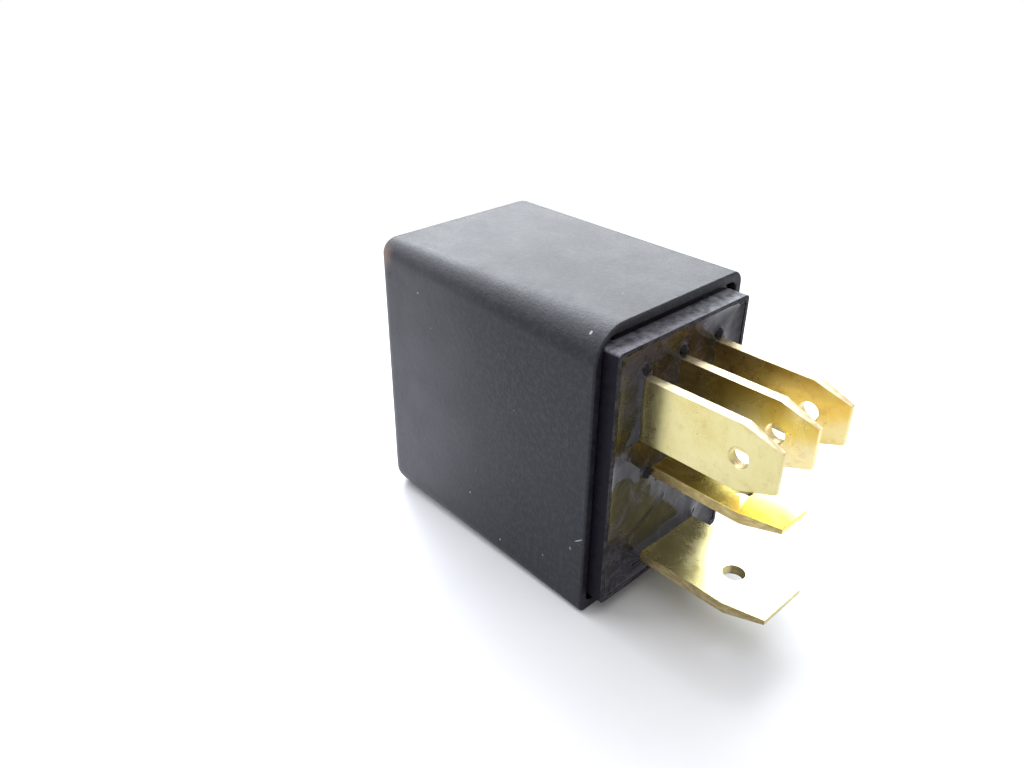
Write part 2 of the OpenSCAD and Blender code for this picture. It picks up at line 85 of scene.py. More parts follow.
BEAD_R = 0.12 * MM
LEAF_R = 0.03 * MM
MOULDED_R = 0.07 * MM
STAMPED_R = 0.06 * MM
WELD = 0.0005 * MM
BLADE_CLIMB = {"terminal_30": 0.62 * MM, "terminal_86": 0.4 * MM}
# Small drops beside 87a: distance from the blade's low corner in Y and in Z, and radius.
SMALL_DROPS = ((1.1 * MM, 0.6 * MM, 0.27 * MM), (1.7 * MM, 0.4 * MM, 0.2 * MM))

# ---- Divisions of curved pieces ----

END_STEPS = 7
SIDE_STEPS = 5
LIP_STEPS = 5
RESIN_STEPS = 170, 250
SPRING_STEPS = 24

# ---- Camera and floor ----

# Azimuth, elevation and roll in degrees.
CAMERA_TURN = 46.615, 29.492, 0.598
# Millimetres from the floor below the rim's middle, for a case that is CAMERA_CASE high.
CAMERA_PLACE = 30.11, -42.995, 45.107
CAMERA_CASE = 22.5
CAMERA_LENS = 30.41
# Metres: half the floor's side, and where it starts and ends its fade to white.
FLOOR_HALF = 1.5
FLOOR_FADE = 0.022, 0.09

BLADES = ["terminal_30", "terminal_85", "terminal_86", "terminal_87", "terminal_87a"]


# ---- Material building ----

def add(tree, kind, ins=None, **props):
    """A shader node with its properties, values and links set."""
    n = tree.nodes.new(kind)
    for key, value in props.items():
        setattr(n, key, value)
    for key, value in (ins or {}).items():
        if isinstance(value, bpy.types.NodeSocket):
            tree.links.new(value, n.inputs[key])
        else:
            n.inputs[key].default_value = value
    return n


def new_material(name):
    """An empty material and its node tree."""
    mat = bpy.data.materials.new(name)
    mat.use_nodes = True
    mat.node_tree.nodes.clear()
    return mat, mat.node_tree


def place(tree, scale=(1, 1, 1), turn=(0, 0, 0), move=(0, 0, 0)):
    """Position on the piece in metres, scaled for a pattern."""
    coord = add(tree, "ShaderNodeTexCoord")
    return add(tree, "ShaderNodeMapping", {
        "Vector": coord.outputs["Object"], "Scale": scale, "Rotation": turn, "Location": move,
    }).outputs[0]


def noise_fac(tree, vector, scale, detail=3.0, rough=0.5, distortion=0.0):
    """Noise between 0 and 1."""
    return add(tree, "ShaderNodeTexNoise", {
        "Vector": vector, "Scale": scale, "Detail": detail, "Roughness": rough,
        "Distortion": distortion,
    }).outputs["Fac"]


def ramp(tree, fac, stops, interpolation="LINEAR"):
    """Colour ramp with a stop for each (position, colour)."""
    n = add(tree, "ShaderNodeValToRGB", {"Fac": fac})
    n.color_ramp.interpolation = interpolation
    while len(n.color_ramp.elements) < len(stops):
        n.color_ramp.elements.new(0.5)
    for e, (pos, col) in zip(n.color_ramp.elements, stops):
        e.position = pos
        e.color = col if len(col) == 4 else (*col, 1.0)
    return n.outputs["Color"]


def remap(tree, value, lo, hi, to_lo=0.0, to_hi=1.0, smooth=True):
    """A value moved from one range into another, eased at both ends if smooth."""
    return add(tree, "ShaderNodeMapRange", {
        "Value": value, "From Min": lo, "From Max": hi, "To Min": to_lo, "To Max": to_hi,
    }, interpolation_type="SMOOTHSTEP" if smooth else "LINEAR").outputs[0]


def math_node(tree, op, a, b=0.0, clamp=False):
    """A math node's result from two values or sockets."""
    return add(tree, "ShaderNodeMath", {0: a, 1: b}, operation=op, use_clamp=clamp).outputs[0]


def blend_colour(tree, fac, a, b, mode="MIX"):
    """Colour a with colour b over it by fac."""
    n = add(tree, "ShaderNodeMix", data_type="RGBA", blend_type=mode)
    for i, value in ((0, fac), (6, a), (7, b)):
        if isinstance(value, bpy.types.NodeSocket):
            tree.links.new(value, n.inputs[i])
        else:
            n.inputs[i].default_value = value if i == 0 else (*value[:3], 1.0)
    return n.outputs[2]


def specks(tree, scale, share, radius, seed=0.0):
    """Small round marks: a mask of 1 inside a few random cells' centres."""
    vor = add(tree, "ShaderNodeTexVoronoi", {
        "Vector": place(tree, move=(seed, seed * 0.7, seed * 1.3)), "Scale": scale,
    })
    split = add(tree, "ShaderNodeSeparateColor", {"Color": vor.outputs["Color"]})
    size = remap(tree, split.outputs[0], 1.0 - share, 1.0, 0.0, radius, smooth=False)
    edge = math_node(tree, "SUBTRACT", size, vor.outputs["Distance"])
    return remap(tree, edge, 0.0, 0.02, 0.0, 1.0)


def near_point(tree, point, reach, stretch=(1, 1, 1), turn=(0, 0, 0)):
    """1 at a point, falling to 0 at its reach, in a box stretched and turned about it."""
    coord = add(tree, "ShaderNodeTexCoord").outputs["Object"]
    local = add(tree, "ShaderNodeVectorMath", {0: coord, 1: tuple(point)},
                operation="SUBTRACT").outputs[0]
    turned = add(tree, "ShaderNodeMapping", {
        "Vector": local, "Rotation": turn, "Scale": tuple(reach * s for s in stretch),
    }, vector_type="TEXTURE").outputs[0]
    far = add(tree, "ShaderNodeVectorMath", {0: turned}, operation="LENGTH").outputs["Value"]
    return remap(tree, far, 0.0, 1.0, 1.0, 0.0)


def bump(tree, height, strength, distance, normal=None):
    """Normal tilted by a height, over another normal if one is given."""
    ins = {"Height": height, "Strength": strength, "Distance": distance}
    if normal is not None:
        ins["Normal"] = normal
    return add(tree, "ShaderNodeBump", ins).outputs[0]


def finish_shader(tree, **ins):
    """Principled shader with these inputs, joined to the output."""
    names = {key.replace("_", " "): value for key, value in ins.items()}
    shader = add(tree, "ShaderNodeBsdfPrincipled", names)
    add(tree, "ShaderNodeOutputMaterial", {"Surface": shader.outputs[0]})
    return shader


# ---- Materials ----

def case_wear(t, at, colour):
    """A brown scuff, dust, dark pores, a scratch and nicks by the rim, laid over a colour."""
    near = cover_lo.y
    scuff_at = (cover_lo.x + 1.2 * MM, near + 0.3 * MM, cover_hi.z - 1.3 * MM)
    scuff = math_node(t, "MULTIPLY", near_point(t, scuff_at, 1.5 * MM, (0.7, 1, 1)),
                      remap(t, noise_fac(t, at, 1500, 5, 0.7), 0.25, 0.6, 0.4, 1.0))
    colour = blend_colour(t, scuff, colour, (0.19, 0.13, 0.11))
    dust = math_node(t, "MAXIMUM", specks(t, 520, 0.06, 0.08), specks(t, 1400, 0.06, 0.12, 3.1))
    colour = blend_colour(t, math_node(t, "MULTIPLY", dust, 0.7), colour, (0.5, 0.51, 0.53))
    pores = math_node(t, "MULTIPLY", specks(t, 900, 0.1, 0.13, 5.3), 0.9)
    colour = blend_colour(t, pores, colour, (0.001, 0.001, 0.0015))
    marks = [((RIM_X - 1.25 * MM, near, 5.45 * MM), 0.24, (0.3, 1, 1), -8),
             ((RIM_X - 0.5 * MM, near, 6.6 * MM), 0.75, (0.1, 1, 1), 51),
             ((RIM_X - 1.25 * MM, near + 0.88 * MM, cover_hi.z - 0.69 * MM), 0.24, (0.7, 1, 1), 0)]
    for point, reach, stretch, turn in marks:
        mark = near_point(t, point, reach * MM, stretch, (0, math.radians(turn), 0))
        colour = blend_colour(t, remap(t, mark, 0.2, 0.6, 0.0, 0.8), colour, (0.4, 0.4, 0.43))
    return colour


def moulded_case():
    """Matt black moulding: fine grain, a dull film, paler toward the closed end as painted sheen with a
    handling haze, and its wear.
    """
    mat, t = new_material("case_moulding")
    at = place(t)
    grain = noise_fac(t, at, 5200, 4, 0.62)
    broad = noise_fac(t, at, 260, 4, 0.55)
    tone = ramp(t, broad, [(0.3, (0.0055, 0.0052, 0.009)), (0.72, (0.0095, 0.0093, 0.014))])
    film = remap(t, noise_fac(t, at, 620, 6, 0.7, 0.4), 0.52, 0.78)
    colour = blend_colour(t, math_node(t, "MULTIPLY", film, 0.16), tone, (0.07, 0.07, 0.085))
    mottle = remap(t, noise_fac(t, at, 2300, 3, 0.6), 0.42, 0.66)
    colour = blend_colour(t, math_node(t, "MULTIPLY", mottle, 0.16), colour, (0.07, 0.065, 0.08))
    xyz = add(t, "ShaderNodeSeparateXYZ", {0: at})
    # Painted sheen, partly a handling haze: paler toward the closed end and less so just under the top
    # edge, broken up by noise.
    sheen_and_haze = math_node(t, "MULTIPLY", remap(t, xyz.outputs[0], cover_lo.x, RIM_X - 6 * MM, 0.8, 0.0),
                        remap(t, xyz.outputs[2], cover_hi.z - 2.5 * MM, cover_hi.z - 0.3 * MM, 1, 0.3))
    sheen_and_haze_breakup = remap(t, noise_fac(t, at, 170, 6, 0.68, 0.5), 0.3, 0.62, 0.72, 1.08)
    colour = blend_colour(t, math_node(t, "MULTIPLY", sheen_and_haze, sheen_and_haze_breakup), colour, (0.075, 0.073, 0.085))
    colour = case_wear(t, at, colour)
    rough = remap(t, broad, 0.3, 0.7, 0.43, 0.49)
    rough = math_node(t, "ADD", rough, math_node(t, "MULTIPLY", film, 0.08))
    low = bump(t, broad, 0.03, 0.1 * MM)
    finish_shader(t, Base_Color=colour, Roughness=rough, IOR=1.54, Specular_IOR_Level=0.3,
                  Specular_Tint=(0.9, 0.95, 1.0, 1.0),
                  Normal=bump(t, grain, 0.8, 0.038 * MM, low))
    return mat


def moulded_base():
    """Glossier black moulding: grey on what faces up and paler toward +Y, as painted sheen over a
    rougher dust film, and a painted highlight along its front lip.
    """
    mat, t = new_material("base_moulding")
    at = place(t)
    grain = noise_fac(t, at, 3800, 5, 0.65)
    streak = noise_fac(t, at, 1700, 6, 0.75)
    tone = ramp(t, streak, [(0.35, (0.006, 0.0045, 0.009)), (0.72, (0.0145, 0.013, 0.019))])
    facing = add(t, "ShaderNodeSeparateXYZ", {0: add(t, "ShaderNodeNewGeometry").outputs["Normal"]})
    # Painted sheen over a rougher dust film: grey on what faces up, paler toward +Y, broken up by the
    # streaks.
    up = remap(t, facing.outputs[2], 0.35, 0.85)
    sheen_and_haze = math_node(t, "MULTIPLY", up, remap(t, streak, 0.34, 0.62, 0.35, 1.0))
    place_xyz = add(t, "ShaderNodeSeparateXYZ", {0: at})
    sheen_toward_plus_y = remap(t, place_xyz.outputs[1], -1 * MM, base_hi.y, 0.0, 1.0)
    grey = blend_colour(t, sheen_toward_plus_y, (0.2, 0.193, 0.22), (0.36, 0.365, 0.4))
    colour = blend_colour(t, sheen_and_haze, tone, grey)
    # Painted highlight along the front lip, broken up by noise.
    front = remap(t, place_xyz.outputs[0], base_hi.x - 0.1 * MM, base_hi.x - 0.03 * MM)
    lip_highlight_breakup = remap(t, noise_fac(t, at, 1900, 4, 0.7), 0.35, 0.65, 0.15, 1.0)
    lip = math_node(t, "MULTIPLY", front, lip_highlight_breakup)
    colour = blend_colour(t, math_node(t, "MULTIPLY", lip, 0.6), colour, (0.085, 0.083, 0.09))
    dust = specks(t, 900, 0.12, 0.1, 1.7)
    colour = blend_colour(t, math_node(t, "MULTIPLY", dust, 0.5), colour, (0.4, 0.4, 0.42))
    rough = math_node(t, "ADD", remap(t, streak, 0.3, 0.7, 0.36, 0.5),
                      math_node(t, "MULTIPLY", sheen_and_haze, 0.15))
    finish_shader(t, Base_Color=colour, Roughness=rough, Specular_IOR_Level=0.07,
                  Normal=bump(t, grain, 0.5, 0.05 * MM))
    return mat


def poured_resin():
    """Black poured resin, glossy, with slow waves, dull patches and a little dust."""
    mat, t = new_material("sealing_resin")
    at = place(t)
    slow = noise_fac(t, at, 420, 2, 0.4)
    fine = noise_fac(t, at, 2600, 3, 0.5)
    dust = math_node(t, "MAXIMUM", specks(t, 1300, 0.08, 0.1, 5.3), specks(t, 2600, 0.05, 0.1, 2.2))
    tone = ramp(t, slow, [(0.3, (0.004, 0.0037, 0.0055)), (0.75, (0.01, 0.0095, 0.0115))])
    dull = remap(t, noise_fac(t, at, 380, 5, 0.65, 0.8), 0.42, 0.66)
    tone = blend_colour(t, math_node(t, "MULTIPLY", dull, 0.62), tone, (0.066, 0.056, 0.084))
    colour = blend_colour(t, math_node(t, "MULTIPLY", dust, 0.45), tone, (0.35, 0.35, 0.34))
    rough = remap(t, noise_fac(t, at, 900, 4, 0.6), 0.35, 0.75, 0.04, 0.11)
    rough = math_node(t, "ADD", rough, math_node(t, "MULTIPLY", dull, 0.3))
    low = bump(t, slow, 0.35, 0.16 * MM)
    finish_shader(t, Base_Color=colour, Roughness=rough, IOR=1.5, Specular_IOR_Level=0.33,
                  Normal=bump(t, fine, 0.06, 0.02 * MM, low))
    return mat


def resin_bead():
    """The same resin where it set in drops: darker and glossier."""
    mat, t = new_material("resin_bead")
    at = place(t)
    tone = ramp(t, noise_fac(t, at, 1800, 3, 0.6), [(0.35, (0.0025, 0.002, 0.0035)),
                                                    (0.8, (0.012, 0.01, 0.015))])
    finish_shader(t, Base_Color=tone, Roughness=remap(t, noise_fac(t, at, 900), 0.3, 0.7, 0.03, 0.1),
                  Specular_IOR_Level=0.16, Normal=bump(t, noise_fac(t, at, 1500), 0.4, 0.06 * MM))
    return mat


def sheet_brass(name, edge_axis, tones, edge_tone, root_shade_reach, root_shade_strength, least_rough=0.19):
    """Rolled brass strip: streaks along X, brown tarnish with painted shade toward the roots, dark
    specks, torn sheared edges in a given edge tone that paints a highlight when pale and shade when
    dark.
    """
    mat, t = new_material(name)
    at = place(t)
    streak = noise_fac(t, place(t, (0.12, 1, 1)), 2600, 4, 0.6)
    cloud = noise_fac(t, at, 330, 5, 0.62, 0.6)
    tone = ramp(t, cloud, list(zip((0.28, 0.5, 0.75), tones)))
    # Painted shade: the brass darkens toward the blade's root, broken up by noise, and is added to the
    # real tarnish.
    root = remap(t, add(t, "ShaderNodeSeparateXYZ", {0: at}).outputs[0],
                 base_hi.x - 0.3 * MM, base_hi.x + root_shade_reach * MM, 1.0, 0.0)
    tarnish_and_root_shade = remap(t, noise_fac(t, at, 900, 6, 0.72, 0.3), 0.52, 0.78)
    root_shade_breakup = remap(t, noise_fac(t, place(t, (0.22, 1, 1)), 1400, 6, 0.75, 0.2), 0.36, 0.62, 0.35, 1.5)
    painted_root_shade = math_node(t, "MULTIPLY", math_node(t, "MULTIPLY", root, root_shade_strength), root_shade_breakup)
    tarnish_and_root_shade = math_node(t, "ADD", math_node(t, "MULTIPLY", tarnish_and_root_shade, 0.42), painted_root_shade, True)
    colour = blend_colour(t, tarnish_and_root_shade, tone, (0.3, 0.16, 0.05))
    marks = math_node(t, "MAXIMUM", specks(t, 1500, 0.09, 0.14, 8.8),
                      specks(t, 3200, 0.08, 0.16, 4.4))
    colour = blend_colour(t, math_node(t, "MULTIPLY", marks, 0.6), colour, (0.09, 0.055, 0.02))
    facing = add(t, "ShaderNodeSeparateXYZ", {0: add(t, "ShaderNodeNewGeometry").outputs["Normal"]})
    edge = remap(t, math_node(t, "ABSOLUTE", facing.outputs[edge_axis]), 0.5, 0.8)
    tear = noise_fac(t, place(t, (0.35, 1, 1)), 3600, 5, 0.75)
    # The edge tone is painted light over the rougher torn edge: pale for a painted highlight, dark for
    # painted shade.
    edge_painted_tone = blend_colour(t, remap(t, tear, 0.4, 0.62), edge_tone[0], edge_tone[1])
    colour = blend_colour(t, math_node(t, "MULTIPLY", edge, 0.8), colour, edge_painted_tone)
    rough = remap(t, cloud, 0.3, 0.7, least_rough, least_rough + 0.1)
    rough = math_node(t, "ADD", rough, math_node(t, "MULTIPLY", tarnish_and_root_shade, 0.2))
    rough = math_node(t, "ADD", rough, math_node(t, "MULTIPLY", edge, 0.14))
    flat = bump(t, streak, 0.16, 0.012 * MM)
    torn = bump(t, math_node(t, "MULTIPLY", tear, edge), 0.6, 0.05 * MM, flat)
    finish_shader(t, Base_Color=colour, Metallic=1.0, Roughness=rough, Normal=torn)
    return mat


def metal(name, light, dark, rough, scale, stretch=(1, 1, 1), depth=0.02):
    """Plain metal with two tones, streaks and small pits."""
    mat, t = new_material(name)
    fac = noise_fac(t, place(t, stretch), scale, 5, 0.62)
    colour = ramp(t, fac, [(0.3, dark), (0.7, light)])
    pits = specks(t, 1600, 0.1, 0.14, 6.0)
    colour = blend_colour(t, math_node(t, "MULTIPLY", pits, 0.5), colour, tuple(0.35 * c for c in dark))
    finish_shader(t, Base_Color=colour, Metallic=1.0,
                  Roughness=remap(t, fac, 0.3, 0.7, rough - 0.06, rough + 0.08),
                  Normal=bump(t, fac, 0.3, depth * MM))
    return mat


def wound_wire():
    """Enamelled copper wire lying in close turns along X."""
    mat, t = new_material("enamelled_wire")
    turns = add(t, "ShaderNodeTexWave", {
        "Vector": place(t), "Scale": 2050.0, "Distortion": 0.4, "Detail": 1.0,
    }, bands_direction="X", wave_profile="SIN").outputs["Fac"]
    cloud = noise_fac(t, place(t), 500, 3, 0.5)
    colour = ramp(t, cloud, [(0.3, (0.36, 0.1, 0.028)), (0.7, (0.6, 0.2, 0.06))])
    finish_shader(t, Base_Color=colour, Metallic=0.85,
                  Roughness=remap(t, cloud, 0.3, 0.7, 0.22, 0.34), Coat_Weight=0.6,
                  Coat_Roughness=0.15, Normal=bump(t, turns, 0.8, 0.06 * MM))
    return mat


def moulding(name, dark, light, rough, scale=1400):
    """Plain moulded plastic with flow marks and a fine grain."""
    mat, t = new_material(name)
    flow = noise_fac(t, place(t, (0.5, 1, 1)), scale, 4, 0.6, 0.3)
    grain = noise_fac(t, place(t), 4500, 3, 0.6)
    colour = ramp(t, flow, [(0.3, dark), (0.7, light)])
    finish_shader(t, Base_Color=colour, Roughness=remap(t, flow, 0.3, 0.7, rough, rough + 0.12),
                  Normal=bump(t, grain, 0.3, 0.03 * MM))
    return mat


def lacquered_resistor():
    """Lacquered body with plain colour rings along Y."""
    mat, t = new_material("resistor_lacquer")
    lo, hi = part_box("suppression_resistor")
    along = add(t, "ShaderNodeSeparateXYZ", {0: place(t)}).outputs[1]
    fac = remap(t, along, lo.y, hi.y, 0.0, 1.0, smooth=False)
    body = (0.55, 0.4, 0.22)
    rings = [(0.0, body), (0.16, (0.25, 0.02, 0.015)), (0.22, body), (0.34, (0.1, 0.04, 0.3)),
             (0.4, body), (0.52, (0.12, 0.04, 0.02)), (0.58, body), (0.8, (0.6, 0.42, 0.1)),
             (0.86, body)]
    colour = ramp(t, fac, rings, "CONSTANT")
    mottle = noise_fac(t, place(t), 1800, 4, 0.6)
    colour = blend_colour(t, 0.35, colour, ramp(t, mottle, [(0.3, (0.3, 0.3, 0.3)), (0.7, (1, 1, 1))]),
                          "MULTIPLY")
    finish_shader(t, Base_Color=colour, Roughness=remap(t, mottle, 0.3, 0.7, 0.18, 0.3),
                  Normal=bump(t, mottle, 0.15, 0.03 * MM))
    return mat


# ---- Mesh building ----

def new_piece(name, bm, mat, body, slot, *nodes):
    """Turns a bmesh into a smooth piece that rides on a body, if one is named, for CAD nodes."""
    bmesh.ops.recalc_face_normals(bm, faces=bm.faces)
    mesh = bpy.data.meshes.new(name)
    bm.to_mesh(mesh)
    bm.free()
    for poly in mesh.polygons:
        poly.use_smooth = True
    obj = bpy.data.objects.new(name, mesh)
    bpy.context.scene.collection.objects.link(obj)
    mesh.materials.append(mat)
    if body:
        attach(obj, body)
    if nodes:
        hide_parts(*nodes)
    return obj


def outline(lo, hi, radii, inset=0.0, steps=10):
    """Rectangle in Y and Z with its own radius at each corner, from the far top round."""
    corners = [(1, 1, 0), (-1, 1, 90), (-1, -1, 180), (1, -1, 270)]
    points = []
    for (sy, sz, start), r in zip(corners, radii):
        r = max(r - inset, 0.04 * MM)
        cy = (hi[0] - inset - r) if sy > 0 else (lo[0] + inset + r)
        cz = (hi[1] - inset - r) if sz > 0 else (lo[1] + inset + r)
        for i in range(steps + 1):
            a = math.radians(start + 90 * i / steps)
            points.append((cy + r * math.cos(a), cz + r * math.sin(a)))
    return points


def add_ring(bm, x, points):
    """Points at x, one for each (y, z)."""
    return [bm.verts.new((x, y, z)) for y, z in points]


def bridge(bm, rings):
    """Faces between each ring and the next."""
    for a, b in zip(rings, rings[1:]):
        n = len(a)
        for i in range(n):
            bm.faces.new((a[i], a[(i + 1) % n], b[(i + 1) % n], b[i]))


def weighted(obj):
    """Flat faces keep flat shading beside their rounded edges."""
    obj.modifiers.new("normals", "WEIGHTED_NORMAL").keep_sharp = True


def build_cover(mat):
    """Case shell: its edges' rounds change along it, and its open lip is soft."""
    lo, hi = (cover_lo.y, cover_lo.z), (cover_hi.y, cover_hi.z)
    length = RIM_X - cover_lo.x - END_R
    inner = (CAVITY_R, CAVITY_NEAR_R, CAVITY_R, CAVITY_R)
    inner_lo = (lo[0] + WALL, lo[1] + WALL)
    inner_hi = (hi[0] - WALL, hi[1] - WALL)
    bm = bmesh.new()

    def outer_ring(x, inset):
        """Ring of the outside at x, drawn in by inset."""
        share = max(0.0, (x - cover_lo.x - END_R) / length)
        near = NEAR_TOP_END_R + share * (NEAR_TOP_R - NEAR_TOP_END_R)
        lower = LOWER_END_R + share * (LOWER_R - LOWER_END_R)
        return add_ring(bm, x, outline(lo, hi, (EDGE_R, near, lower, lower), inset))

    rings = [outer_ring(cover_lo.x, END_R + 0.5 * MM)]
    for i in range(END_STEPS + 1):
        a = math.radians(90 * i / END_STEPS)
        rings.append(outer_ring(cover_lo.x + END_R * (1 - math.cos(a)), END_R * (1 - math.sin(a))))
    for i in range(1, SIDE_STEPS):
        rings.append(outer_ring(cover_lo.x + END_R + length * i / SIDE_STEPS, 0.0))
    for i in range(LIP_STEPS + 1):
        a = math.radians(90 * i / LIP_STEPS)
        rings.append(outer_ring(RIM_X - LIP_R * (1 - math.sin(a)), LIP_R * (1 - math.cos(a))))
    for x, inset in ((RIM_X, -0.1 * MM), (RIM_X - 0.04 * MM, -0.02 * MM),
                     (RIM_X - 0.12 * MM, 0.0), (cover_lo.x + END_WALL, 0.0)):
        rings.append(add_ring(bm, x, outline(inner_lo, inner_hi, inner, inset)))
    bridge(bm, rings)
    bm.faces.new(rings[0])
    bm.faces.new(rings[-1])
    obj = new_piece("case_shell", bm, mat, "housing", "cover_moulding", "cover")
    weighted(obj)
    return obj


def blade_rects():
    """Each blade's cross-section in Y and Z."""
    rects = []
    for name in BLADES:
        pts = [v.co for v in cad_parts[name].data.vertices if v.co.x > base_hi.x + 0.5 * MM]
        rects.append((min(p.y for p in pts), max(p.y for p in pts),
                      min(p.z for p in pts), max(p.z for p in pts)))
    return rects


def rect_gap(y, z, rect):
    """Distance from a point to a blade's cross-section, 0 inside it."""
    dy = max(rect[0] - y, 0.0, y - rect[1])
    dz = max(rect[2] - z, 0.0, z - rect[3])
    return math.hypot(dy, dz)


def drop_places(rects):
    """Where the resin left a drop on each narrow blade, with its radius, and two small ones."""
    places = []
    reach = DROP_R - DROP_LAP
    for y0, y1, z0, z1 in rects:
        if z1 - z0 > y1 - y0:
            places.append(((y0 + y1) / 2, z1 + reach, DROP_R))
        elif y1 - y0 < 6 * MM:
            places.append((y0 - reach, (z0 + z1) / 2, DROP_R))
            places += [(y0 + dy, z0 - dz, r) for dy, dz, r in SMALL_DROPS]
    return places


def build_drops(places, level, mat):
    """Uneven round drops, half sunk in the pool."""
    bm = bmesh.new()
    for k, (y, z, r) in enumerate(places):
        ball = bmesh.ops.create_uvsphere(bm, u_segments=28, v_segments=18, radius=r)
        for v in ball["verts"]:
            uneven = 1 + 0.07 * noise.noise(v.co / r * 1.2 + Vector((3.0 * k, 0, 0)))
            v.co = v.co * uneven + Vector((level, y, z))
    return new_piece("resin_drops", bm, mat, "housing", "sealing_resin")


def node_bmesh(name):
    """A copy of a CAD node's mesh with the points that its faces share joined."""
    bm = bmesh.new()
    bm.from_mesh(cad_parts[name].data)
    bmesh.ops.remove_doubles(bm, verts=bm.verts, dist=WELD)
    return bm


def build_beads(low, high, mat):
    """The two beads that close the gaps above and below the base's block, rounded in front."""
    bm = node_bmesh("epoxy_seal")
    inner = [v for v in bm.verts if low + WELL_WALL / 2 < v.co.z < high - WELL_WALL / 2]
    bmesh.ops.delete(bm, geom=inner, context="VERTS")
    beads = new_piece("resin_beads", bm, mat, "housing", "sealing_resin")
    bevel = beads.modifiers.new("bevel", "BEVEL")
    bevel.width = BEAD_R
    bevel.segments = 3
    bevel.harden_normals = True
    return beads


def close_back(bm, grid, x):
    """Gives a grid of points straight sides down to x and a flat back."""
    border = (grid[0] + [row[-1] for row in grid[1:]] + grid[-1][-2::-1]
              + [row[0] for row in grid[-2:0:-1]])
    back = [bm.verts.new((x, v.co.y, v.co.z)) for v in border]
    n = len(border)
    for i in range(n):
        bm.faces.new((border[i], border[(i + 1) % n], back[(i + 1) % n], back[i]))
    bm.faces.new(back)


def well_box():
    """The well's inside in Y and Z, between the low and the high end of the base's front."""
    front = [v.co.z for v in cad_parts["base"].data.vertices
             if v.co.x > base_hi.x - 0.1 * MM]
    return (base_lo.y + WELL_WALL, base_hi.y - WELL_WALL,
            min(front) + WELL_WALL, max(front) - WELL_WALL), min(front), max(front)


def resin_climb(y, z, well, rects, drops):
    """How far the resin climbs at the well's wall and corners, the blades and the drops."""
    y0, y1, z0, z1 = well
    wall = min(y - y0, y1 - y, z - z0, z1 - z)
    corner = math.hypot(max(CORNER_REACH - (y - y0), 0, CORNER_REACH - (y1 - y)),
                        max(CORNER_REACH - (z - z0), 0, CORNER_REACH - (z1 - z)))
    h = CLIMB * math.exp(-max(wall, 0) / WALL_CLIMB_REACH)
    h = max(h, CLIMB * max(0.0, min(1.0, (corner - 1.0 * MM) / (0.8 * MM))))
    for rect, name in zip(rects, BLADES):
        climb = BLADE_CLIMB.get(name, CLIMB)
        h = max(h, climb * math.exp(-rect_gap(y, z, rect) / BLADE_CLIMB_REACH))
    drop_gap = min(math.hypot(y - by, z - bz) - r for by, bz, r in drops)
    return max(h, DROP_CLIMB * math.exp(-max(drop_gap, 0) / DROP_CLIMB_REACH))


def resin_waves(h, y, z, wide):
    """Adds slow and fine waves to a height, and the crease beside the wide blade."""
    p = Vector((y / MM, z / MM, 0.0))
    h += 0.07 * MM * noise.noise(p * 0.42) + 0.02 * MM * noise.noise(p * 1.3)
    crease = abs((z - wide[3] - 1.9 * MM) - 0.5 * (y - wide[0]))
    if y < wide[0] + 3 * MM:
        h += CREASE * math.exp(-(crease / CREASE_REACH) ** 2)
    return h


def build_resin(mat, bead):
    """Resin surface, which climbs the well's wall and the blades and sags between, and its drops."""
    rects = blade_rects()
    wide = max(rects, key=lambda r: r[1] - r[0])
    well, low, high = well_box()
    y0, y1, z0, z1 = well
    level = base_hi.x - RESIN_DROP
    drops = drop_places(rects)
    ny, nz = RESIN_STEPS
    bm = bmesh.new()
    grid = []
    for j in range(nz + 1):
        z = z0 + (z1 - z0) * j / nz
        row = []
        for i in range(ny + 1):
            y = y0 + (y1 - y0) * i / ny
            h = resin_waves(resin_climb(y, z, well, rects, drops), y, z, wide)
            row.append(bm.verts.new((level + h, y, z)))
        grid.append(row)
    for j in range(nz):
        for i in range(ny):
            bm.faces.new((grid[j][i], grid[j][i + 1], grid[j + 1][i + 1], grid[j + 1][i]))
    close_back(bm, grid, base_hi.x - WELL_DEPTH)
    build_drops(drops, level, bead)
    build_beads(low, high, bead)
    return new_piece("resin_pool", bm, mat, "housing", "sealing_resin", "epoxy_seal")


def build_spring(mat):
    """The contact spring as a leaf, cut into bands between the yoke's rivets and the armature's."""
    bm = node_bmesh("contact_spring")
    fixed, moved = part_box("yoke_rivets")[0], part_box("armature_rivets")[0]
    start = Vector((fixed.x - 0.3 * MM, 0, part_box("contact_spring")[0].z))
    end = Vector((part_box("contact_spring")[0].x, 0, moved.z - 0.2 * MM))
    for k in range(1, SPRING_STEPS):
        bmesh.ops.bisect_plane(bm, geom=bm.verts[:] + bm.edges[:] + bm.faces[:],
                               plane_co=start.lerp(end, k / SPRING_STEPS), plane_no=end - start)
    bmesh.ops.dissolve_degenerate(bm, edges=bm.edges, dist=0.002 * MM)
    leaf = new_piece("spring_leaf", bm, mat, None, "spring_bronze", "contact_spring")
    bevel = leaf.modifiers.new("bevel", "BEVEL")
    bevel.width = LEAF_R
    bevel.angle_limit = math.radians(35)
    weighted(leaf)
    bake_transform(leaf)
    return leaf


def soften(name, width, segments=2, angle=35):
    """Rounds a CAD node's sharp edges with modifiers alone."""
    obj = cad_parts[name]
    weld = obj.modifiers.new("weld", "WELD")
    weld.merge_threshold = WELD
    plane = obj.modifiers.new("plane", "DECIMATE")
    plane.decimate_type = "DISSOLVE"
    plane.angle_limit = math.radians(1)
    bevel = obj.modifiers.new("bevel", "BEVEL")
    bevel.width = width
    bevel.segments = segments
    bevel.limit_method = "ANGLE"
    bevel.angle_limit = math.radians(angle)
    normals = obj.modifiers.new("normals", "WEIGHTED_NORMAL")
    normals.weight = 100
    return obj


def paint(name, mat):
    """Gives a CAD node its material."""
    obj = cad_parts[name]
    obj.data.materials.clear()
    obj.data.materials.append(mat)


# ---- Camera, floor and light ----

